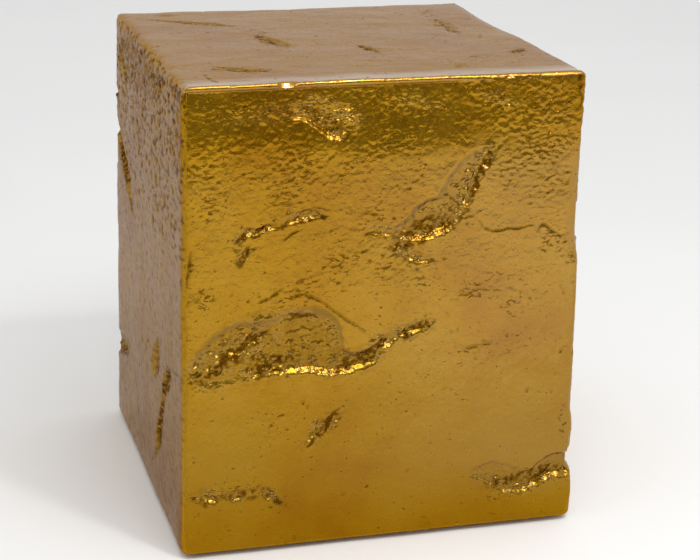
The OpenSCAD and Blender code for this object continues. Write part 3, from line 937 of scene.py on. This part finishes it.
def gold_leaf():
    """Metal leaf under clear varnish: brown in the hollows, stains and nicks, partly the leaf's own brown
    and partly painted shade, nearly black in the left face's darkest hollows; greyer along the scars' lips
    and worn edges; crumbled in the scars.
    """
    n = Nodes("gold_leaf")
    tone = n.ramp(n.noise(8.0, 4.0, 0.6), (0.30, OLD_GOLD), (0.5, GOLD), (0.72, PALE_GOLD))
    # Greyer along the scars' lips and worn arrises.
    greyed = n.maths("MULTIPLY", n.attribute("greyed"), n.range(n.noise(90.0, 3.0), 0.5, 1.0))
    flaked = n.maths("MULTIPLY", n.attribute("broken"), n.range(n.noise(240.0, 2.0), 0.0, 0.9))
    colour = n.mix(n.maths("MULTIPLY", greyed, 0.55), n.mix(flaked, tone, FLAKE_BASE), GREY_BASE)
    slanted = n.stretched((0.5, 1.0, 1.0), (0.3, -0.6, 0.2))
    # The nick pattern is bumped into the surface and painted dark in its pits as shade.
    thick = n.maths("MULTIPLY", n.attribute("nicked"), 0.13)
    nicks = n.maths("ADD", n.noise(360.0, 2.0, 0.5, slanted, 0.5), thick)
    nicks = n.ramp(nicks, (0.70, BLACK), (0.76, WHITE))
    # Painted shade and stains from the mesh, and painted shade in the nicks, darken the colour to brown and
    # then nearly black.
    hollow = n.maths("MAXIMUM", n.attribute("shade_and_stain"), n.maths("MULTIPLY", nicks, 0.45))
    colour = n.mix(n.ramp(hollow, (0.0, BLACK), (0.6, WHITE)), colour, BROWN_SHADE_AND_STAIN)
    colour = n.mix(n.ramp(hollow, (0.6, BLACK), (1.0, (0.85, 0.85, 0.85))), colour, DEEP_SHADE_AND_STAIN)
    rough = n.range(n.noise(55.0, 4.0, 0.65), 0.20, 0.34)
    crumb = n.add("TexVoronoi", feature="F1")
    crumb.inputs["Scale"].default_value = 300.0
    n.join(n.place, crumb.inputs["Vector"])
    crumbled = n.maths("MULTIPLY", crumb.outputs["Distance"], n.attribute("broken"))
    normal = n.bump(n.noise(150.0, 3.0, 0.6, distortion=0.4), 0.0006)
    normal = n.bump(crumbled, 0.0009, normal)
    normal = n.bump(n.noise(600.0, 2.0), 0.0001, normal)
    normal = n.bump(n.maths("SUBTRACT", 1.0, nicks), 0.0006, normal)
    bare = n.ramp(hollow, (0.0, WHITE), (0.5, BLACK))
    n.join(n.maths("MULTIPLY", n.attribute("varnish"), bare), n.shader.inputs["Coat Weight"])
    return n.finish(colour, rough, normal, Metallic=1.0, Specular_Tint=GRAZING_TINT, Coat_Roughness=0.10,
                    Coat_IOR=1.45)


def raw_laminate():
    """The glass-reinforced back of the casting, seen only from below and inside."""
    n = Nodes("raw_laminate")
    strand = n.noise(90.0, 5.0, 0.7, n.stretched((1.0, 1.0, 0.35)))
    colour = n.ramp(strand, (0.3, (0.16, 0.13, 0.08)), (0.7, (0.34, 0.29, 0.20)))
    return n.finish(colour, n.range(strand, 0.45, 0.7), n.bump(strand, 0.0008))


def wood(name, dark, light, along_axis):
    """Planed softwood, with its grain along one axis."""
    n = Nodes(name)
    squash = [1.0, 1.0, 1.0]
    squash[along_axis] = 0.05
    grain = n.noise(120.0, 4.0, 0.65, n.stretched(squash), 0.8)
    pores = n.noise(900.0, 2.0, 0.5, n.stretched(squash))
    colour = n.mix(n.range(pores, 0.0, 0.45), n.ramp(grain, (0.35, dark), (0.62, light)), dark)
    return n.finish(colour, n.range(grain, 0.5, 0.72), n.bump(pores, 0.0004))


def plywood():
    """Veneer on the faces, with the plies showing as bands down the edges."""
    n = Nodes("plywood")
    split = n.add("SeparateXYZ")
    n.join(n.place, split.inputs["Vector"])
    band = n.range(n.maths("PINGPONG", split.outputs["Z"], PLY), 0.0, 1.0)
    band.node.inputs["From Max"].default_value = PLY
    grain = n.noise(110.0, 4.0, 0.65, n.stretched((0.05, 1.0, 1.0)), 0.8)
    veneer = n.ramp(grain, (0.35, (0.46, 0.30, 0.15)), (0.65, (0.66, 0.48, 0.27)))
    colour = n.mix(n.ramp(band, (0.35, BLACK), (0.6, (0.6, 0.6, 0.6))), veneer, (0.30, 0.18, 0.09))
    return n.finish(colour, n.range(grain, 0.5, 0.75), n.bump(grain, 0.0004))


def black_paint():
    """Thin black paint over plywood, with the veneer's grain telegraphing through."""
    n = Nodes("black_paint")
    grain = n.noise(140.0, 4.0, 0.65, n.stretched((0.06, 1.0, 1.0)), 0.6)
    speck = n.noise(900.0, 2.0)
    colour = n.ramp(grain, (0.3, (0.010, 0.010, 0.011)), (0.7, (0.022, 0.021, 0.020)))
    return n.finish(colour, n.range(speck, 0.42, 0.62), n.bump(grain, 0.0003))


def putty():
    n = Nodes("resin_putty")
    blotch = n.noise(60.0, 5.0, 0.65)
    colour = n.ramp(blotch, (0.3, (0.33, 0.29, 0.20)), (0.7, (0.52, 0.48, 0.36)))
    return n.finish(colour, n.range(blotch, 0.3, 0.6), n.bump(blotch, 0.0012))


def plated(name, tint, shade):
    """Zinc plate: fine spangle, drawing marks and slight clouding."""
    n = Nodes(name)
    cloud = n.noise(260.0, 4.0, 0.6)
    fine = n.noise(1500.0, 2.0, 0.5, n.stretched((1.0, 1.0, 0.2)))
    colour = n.ramp(cloud, (0.3, shade), (0.65, tint))
    return n.finish(colour, n.range(cloud, 0.22, 0.42), n.bump(fine, 0.00008), Metallic=1.0)


def moulded(name, dark, light, low, high, grain):
    """Moulded nylon or rubber with a fine tool texture and a little dust."""
    n = Nodes(name)
    fine = n.noise(grain, 3.0, 0.6)
    cloud = n.noise(70.0, 4.0, 0.6)
    colour = n.ramp(cloud, (0.35, dark), (0.7, light))
    return n.finish(colour, n.range(fine, low, high), n.bump(fine, 0.0002))


def dress_cad_nodes():
    """Gives every carried-over CAD node its material."""
    post_wood = wood("post_timber", (0.42, 0.26, 0.12), (0.66, 0.47, 0.25), 2)
    wood_x, wood_y = (wood("rail_timber_" + axis, (0.40, 0.25, 0.12), (0.64, 0.45, 0.24), number)
                      for number, axis in enumerate("xy"))
    zinc = plated("nut_zinc", (0.62, 0.63, 0.65), (0.42, 0.43, 0.46))
    nylon = moulded("black_nylon", (0.014, 0.014, 0.015), (0.030, 0.030, 0.031), 0.35, 0.55, 1400.0)
    rubber = moulded("sole_rubber", (0.030, 0.028, 0.026), (0.060, 0.056, 0.052), 0.7, 0.9, 1100.0)
    fillet = putty()
    looks = {"seat_board": plywood(), "base_panel": black_paint()}
    looks["panel_screws"] = plated("screw_zinc", (0.70, 0.60, 0.30), (0.50, 0.42, 0.20))
    for side in SIDES:
        looks["base_rail_" + side] = wood_x if side in ("front", "back") else wood_y
    for corner in CORNERS:
        looks["corner_post_" + corner] = post_wood
        looks["resin_fillet_" + corner] = fillet
        looks["tee_nut_" + corner] = zinc
        looks["glide_pad_" + corner] = nylon
        looks["glide_sole_" + corner] = rubber
    for name, material in looks.items():
        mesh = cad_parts[name].data
        mesh.materials.clear()
        mesh.materials.append(material)


# ------------------------------------------------------------------ levelling glide studs

STUD_RADIUS = 4.0 * MM
TIP_RADIUS = 2.9 * MM
PITCH = 1.25 * MM
THREAD_DEPTH = 0.68 * MM
THREAD_SIDES = 36
TURN_STEPS = 8        # rings of points in each turn of the thread
HEAD_RADIUS = 6.5 * MM
HEAD_HEIGHT = 3.0 * MM
HEAD_BEVEL = 0.4 * MM
COLLAR_GAP = 1.5 * MM
COLLAR_HEIGHT = 6.0 * MM
COLLAR_BEVEL = 0.5 * MM


def ring(centre, radii, z):
    """Points evenly spaced round a centre at one height, one for each radius."""
    turns = [2 * math.pi * s / len(radii) for s in range(len(radii))]
    return [(centre[0] + r * math.cos(a), centre[1] + r * math.sin(a), z) for r, a in zip(radii, turns)]


def bands(rings, first):
    """Faces between each ring and the next, where the first ring starts at point number first."""
    sides = len(rings[0])
    faces = []
    for start in range(first, first + (len(rings) - 1) * sides, sides):
        for s in range(sides):
            a, b = start + s, start + (s + 1) % sides
            faces.append((a, b, b + sides, a + sides))
    return faces


def thread_radii(turns, share):
    """Radii round one level of the thread, some turns above its foot, at a share of its full depth."""
    radii = []
    for s in range(THREAD_SIDES):
        phase = (turns - s / THREAD_SIDES) % 1.0
        crest = min(1.0, max(0.0, 1.35 - abs(phase - 0.5) * 3.4))
        radii.append(STUD_RADIUS - THREAD_DEPTH + THREAD_DEPTH * crest * share)
    return radii


def threaded_stud(corner):
    """A stud with a captive head, a hex collar and a helical M8 thread above it."""
    low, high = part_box("glide_stud_" + corner)
    centre = ((low.x + high.x) / 2, (low.y + high.y) / 2)
    collar_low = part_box("glide_pad_" + corner)[1].z + COLLAR_GAP
    collar_high = collar_low + COLLAR_HEIGHT
    thread_low = collar_high + 1.6 * MM
    head_top = low.z + HEAD_HEIGHT
    profile = (
        (HEAD_RADIUS - HEAD_BEVEL, low.z), (HEAD_RADIUS, low.z + HEAD_BEVEL),
        (HEAD_RADIUS, head_top - HEAD_BEVEL), (HEAD_RADIUS - HEAD_BEVEL, head_top), (STUD_RADIUS, head_top),
        (STUD_RADIUS, collar_high + 0.4 * MM), (STUD_RADIUS - THREAD_DEPTH, thread_low),
    )
    rings = [ring(centre, [radius] * THREAD_SIDES, z) for radius, z in profile]
    steps = int((high.z - thread_low - 1.2 * MM) / PITCH * TURN_STEPS)
    for step in range(1, steps + 1):
        turns = step / TURN_STEPS
        share = min(1.0, turns, (steps - step) / TURN_STEPS + 0.15)
        rings.append(ring(centre, thread_radii(turns, share), thread_low + turns * PITCH))
    rings.append(ring(centre, [TIP_RADIUS] * THREAD_SIDES, high.z))
    points = [(*centre, low.z)] + sum(rings, []) + [(*centre, high.z)]
    faces = bands(rings, 1)
    end = len(points) - 1
    for s in range(THREAD_SIDES):
        t = (s + 1) % THREAD_SIDES
        faces.append((0, 1 + t, 1 + s))
        faces.append((end - THREAD_SIDES + s, end - THREAD_SIDES + t, end))
    # the hex collar is its own closed part round the shank
    corner_reach = (high.y - low.y) / 2 / math.cos(math.radians(30))
    levels = ((0.92, collar_low), (1.0, collar_low + COLLAR_BEVEL), (1.0, collar_high - COLLAR_BEVEL),
              (0.92, collar_high))
    collar = [ring(centre, [share * corner_reach] * 6, z) for share, z in levels]
    faces += bands(collar, len(points))
    faces.append(tuple(range(len(points) + 5, len(points) - 1, -1)))
    points += sum(collar, [])
    faces.append(tuple(range(len(points) - 6, len(points))))
    mesh = bpy.data.meshes.new("stud_" + corner)
    mesh.from_pydata(points, [], faces)
    mesh.validate()
    mesh.shade_smooth()
    mesh.set_sharp_from_angle(angle=math.radians(35))
    return mesh


def make_studs():
    steel = plated("stud_zinc", (0.66, 0.67, 0.69), (0.46, 0.47, 0.50))
    for corner in CORNERS:
        mesh = threaded_stud(corner)
        mesh.materials.append(steel)
        stud = bpy.data.objects.new("threaded_stud_" + corner, mesh)
        bpy.context.collection.objects.link(stud)
        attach(stud, "stud_" + corner)
        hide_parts("glide_stud_" + corner)


# ------------------------------------------------------------------ floor and light

def level_corners(low_x, high_x, low_y, high_y, z):
    return [(low_x, low_y, z), (high_x, low_y, z), (high_x, high_y, z), (low_x, high_y, z)]


def make_plane(name, corners, material):
    """A plane that belongs to the studio, not to the part."""
    mesh = bpy.data.meshes.new(name)
    mesh.from_pydata(corners, [], [(0, 1, 2, 3)])
    mesh.materials.append(material)
    plane = bpy.data.objects.new(name, mesh)
    bpy.context.collection.objects.link(plane)
    return plane


def make_floor():
    n = Nodes("pale_floor")
    cloud = n.noise(1.5, 2.0)
    colour = n.ramp(cloud, (0.3, (0.87, 0.87, 0.865)), (0.7, (0.89, 0.89, 0.885)))
    material = n.finish(colour, n.range(cloud, 0.75, 0.85), n.bump(cloud, 0.0002))
    make_plane("floor", level_corners(-14.0, 14.0, -14.0, 14.0, 0), material)


def make_flag(name, corners, shade):
    """A studio flag of plain cloth, which only shows in the block's gloss."""
    n = Nodes(name)
    weave = n.noise(200.0, 2.0)
    colour = n.ramp(weave, (0.3, (shade,) * 3), (0.7, (1.2 * shade,) * 3))
    flag = make_plane(name, corners, n.finish(colour, n.range(weave, 0.8, 0.95), n.bump(weave, 0.0002)))
    flag.visible_camera = False
    flag.visible_diffuse = False
    flag.visible_shadow = False


def make_flags():
    """A dark one stands behind the camera, for the dark band under the front's top edge. Grey ones lie on
    the floor, to the left for the dimmer left face, and in front for the dimmer foot of the front."""
    make_flag("front_flag", [(-3.2, -2.6, 0), (4.2, -2.6, 0), (4.2, -2.6, 1.45), (-3.2, -2.6, 1.45)], 0.15)
    # Painted shade on the floor, seen only in the gloss: one dims the left face's reflection, the other the
    # reflection in the front's foot.
    make_flag("left_flag", level_corners(-1.6, -0.21, -0.15, 1.9, 0.004), 0.66)
    make_flag("foot_flag", level_corners(-1.0, 1.2, -0.64, -0.2, 0.004), 0.58)


def area_light(name, place, aim, size, radiance, shape="RECTANGLE"):
    """An area light of a given brightness, which doesn't depend on its size."""
    data = bpy.data.lights.new(name, "AREA")
    data.shape = shape
    data.size, data.size_y = size
    area = size[0] * size[1] * (math.pi / 4 if shape == "ELLIPSE" else 1)
    data.energy = radiance * area * math.pi
    light = bpy.data.objects.new(name, data)
    light.location = place
    light.rotation_euler = (Vector(aim) - Vector(place)).to_track_quat("-Z", "Y").to_euler()
    bpy.context.collection.objects.link(light)


def make_world():
    """A soft pale studio: bright round the horizon, dimmer halfway up and brightest overhead."""
    world = bpy.data.worlds.new("studio")
    bpy.context.scene.world = world
    world.use_nodes = True
    tree = world.node_tree
    place = tree.nodes.new("ShaderNodeTexCoord")
    split = tree.nodes.new("ShaderNodeSeparateXYZ")
    ramp = tree.nodes.new("ShaderNodeValToRGB")
    stops = ramp.color_ramp.elements
    stops[0].color = (0.88, 0.88, 0.88, 1.0)
    stops[1].color = (1.0, 1.0, 1.0, 1.0)
    stops.new(0.36).color = (0.92, 0.92, 0.92, 1.0)
    stops.new(0.62).color = (0.60, 0.60, 0.60, 1.0)
    tree.links.new(place.outputs["Generated"], split.inputs["Vector"])
    tree.links.new(split.outputs["Z"], ramp.inputs["Fac"])
    tree.links.new(ramp.outputs["Color"], tree.nodes["Background"].inputs["Color"])


def make_lights():
    area_light("overhead_softbox", (0.3, -1.6, 2.1), (0.2, -0.7, 0.0), (2.2, 0.65), 5.2)
    area_light("spot_lamp", (0.41, -1.05, 2.05), (0.0, -0.2, 0.4), (0.18, 0.18), 95.0, "ELLIPSE")


def main():
    bpy.context.scene.view_settings.view_transform = "Standard"
    make_camera()
    make_world()
    make_lights()
    make_floor()
    make_flags()
    make_casting()
    make_studs()
    dress_cad_nodes()


main()
